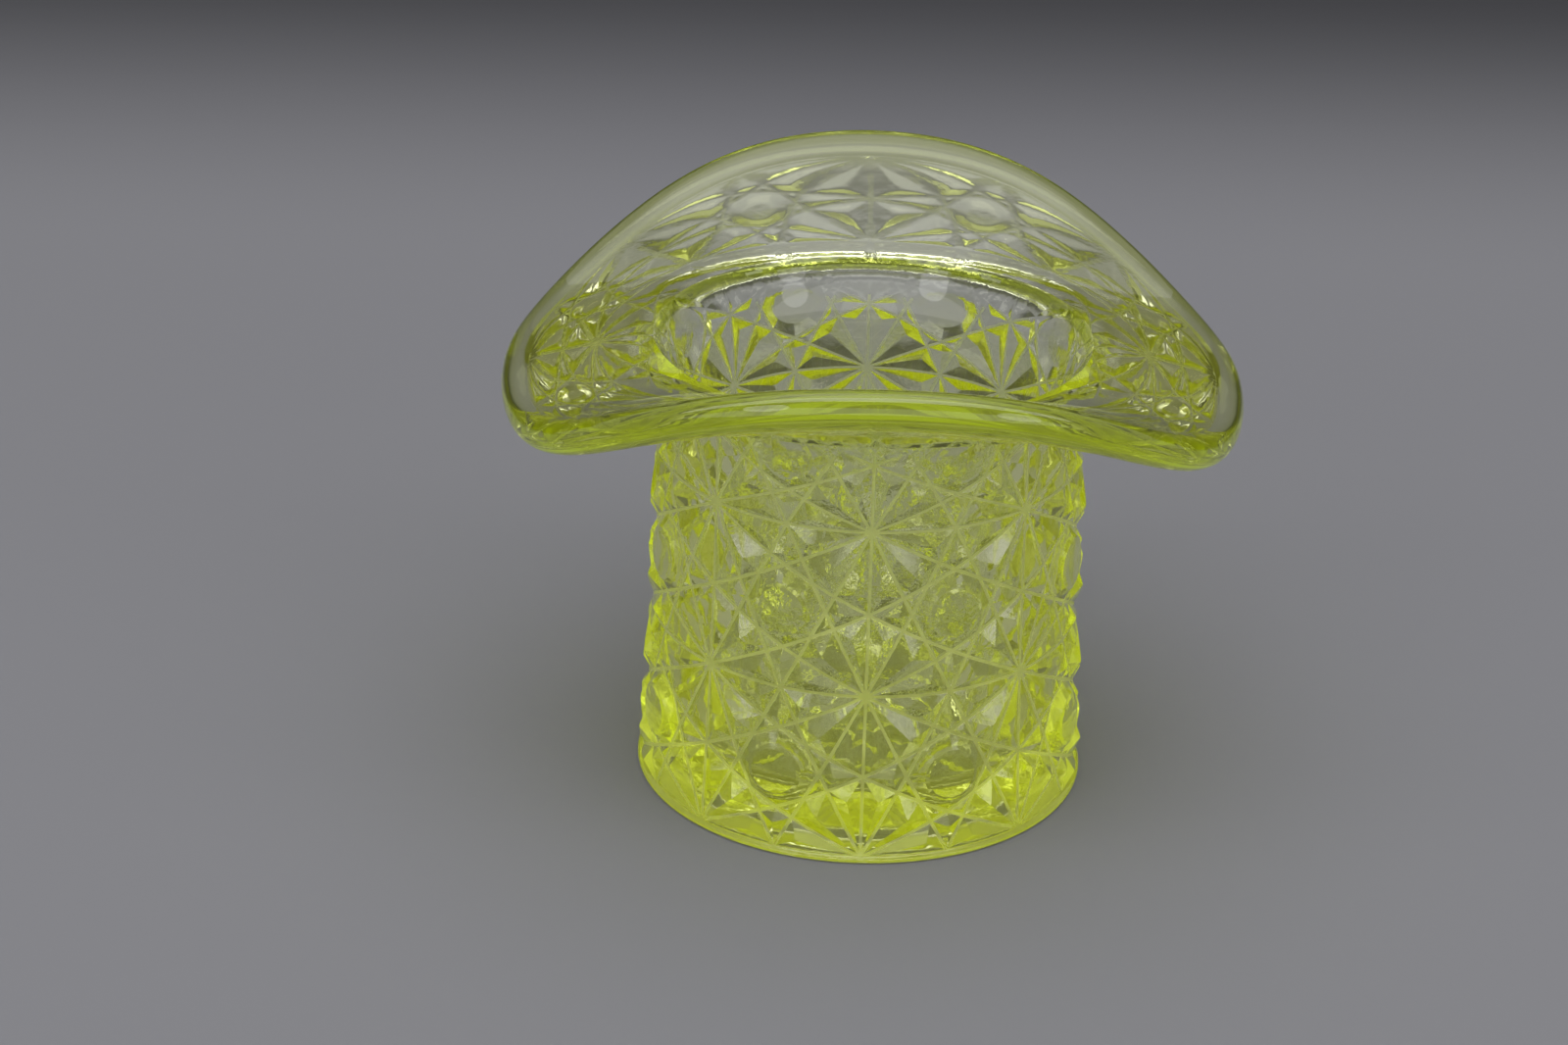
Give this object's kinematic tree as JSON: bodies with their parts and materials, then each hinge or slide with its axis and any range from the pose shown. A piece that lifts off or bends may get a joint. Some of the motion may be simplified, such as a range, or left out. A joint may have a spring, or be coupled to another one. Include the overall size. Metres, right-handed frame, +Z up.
{
  "type": "pressed glass hat",
  "caption": "Small pressed-glass top hat that stands on its crown as an open holder, with a saddle-shaped brim and a daisy-and-button relief.",
  "frame": {"origin": "middle of the foot, on the surface that the hat stands on", "axes": "+Z up out of the open mouth, the turned-up front of the brim faces -Y, the dropped sides of the brim lie along X"},
  "size_m": [0.0856, 0.0884, 0.0653],
  "materials": {
    "hat_glass": "clear yellow-green pressed glass, fire polished"
  },
  "bodies": {
    "root": {"base_floor": "hat_glass", "crown_wall": "hat_glass", "neck_flare": "hat_glass", "brim": "hat_glass", "rim": "hat_glass"}
  },
  "joints": []
}
